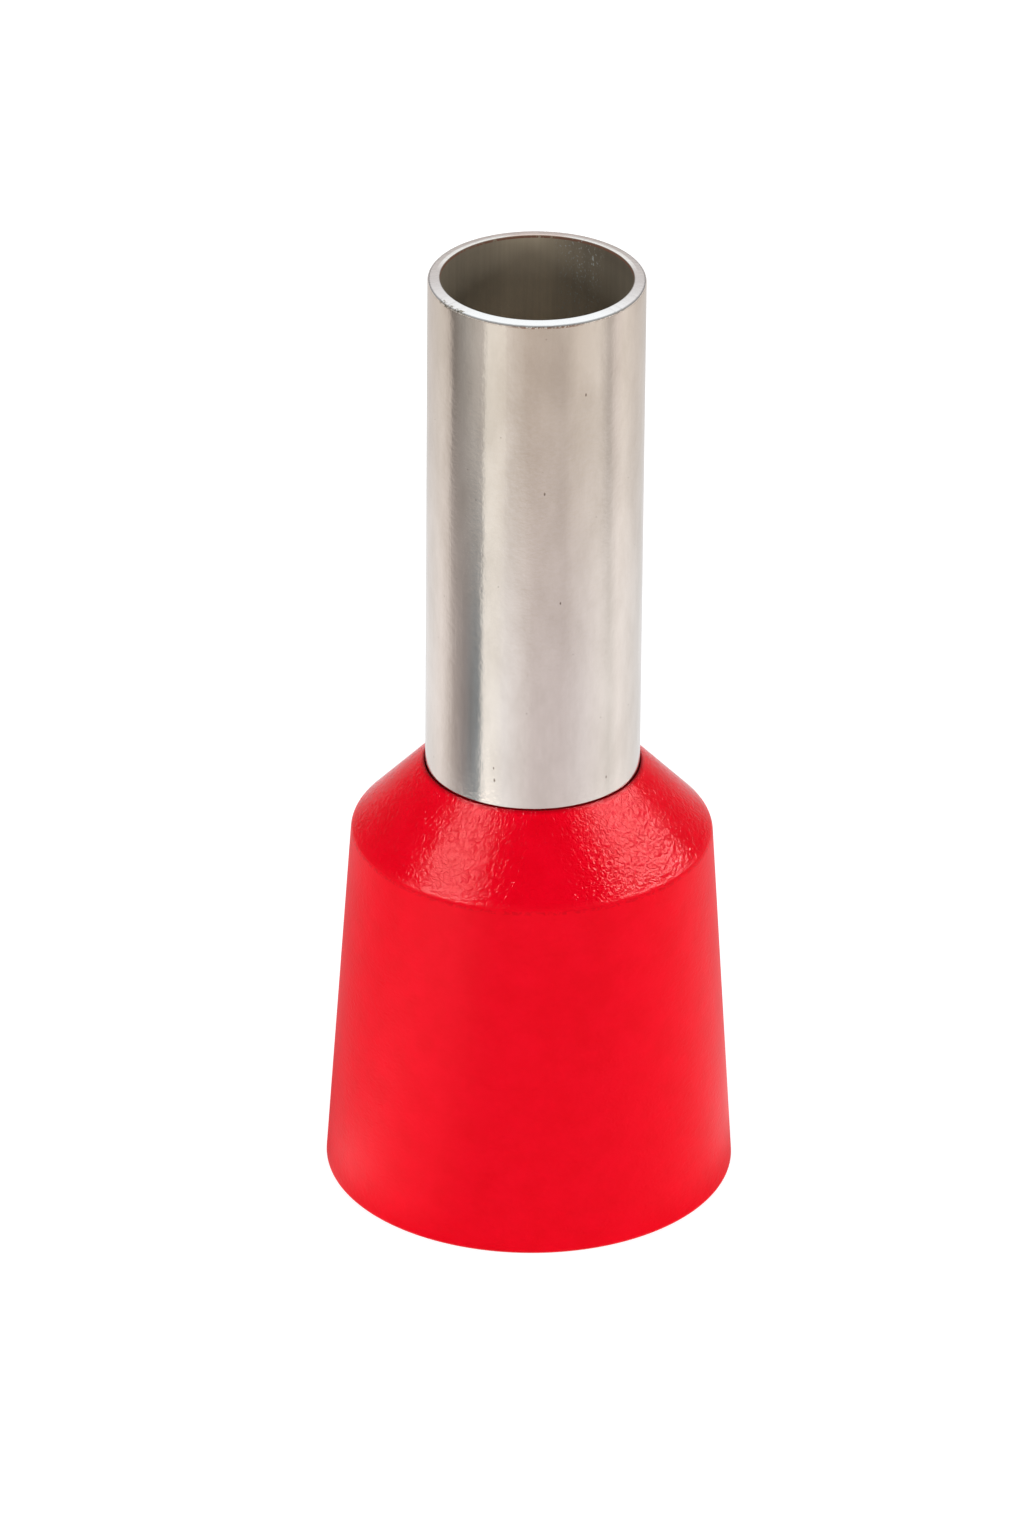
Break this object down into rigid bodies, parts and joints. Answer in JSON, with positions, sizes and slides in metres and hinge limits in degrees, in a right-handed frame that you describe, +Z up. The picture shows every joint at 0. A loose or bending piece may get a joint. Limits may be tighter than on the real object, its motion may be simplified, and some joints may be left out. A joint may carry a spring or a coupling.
{
  "type": "wire ferrule",
  "caption": "Insulated wire-end ferrule: thin plated copper tube flared inside a red tapered collar that funnels the strands in.",
  "frame": {"origin": "centre of the collar's mouth, in the plane of the ring that the ferrule stands on", "axes": "+Z runs up the axis from the collar's mouth to the tube's tip; X and Y are free, because the part is turned about Z"},
  "size_m": [0.0092, 0.0092, 0.022],
  "materials": {
    "tinned_copper": "tin plated drawn copper, satin bright",
    "red_plastic": "moulded polymer, fine spark-eroded grain, satin"
  },
  "bodies": {
    "root": {"conductor_tube": "tinned_copper", "insulating_collar": "red_plastic"}
  },
  "joints": []
}
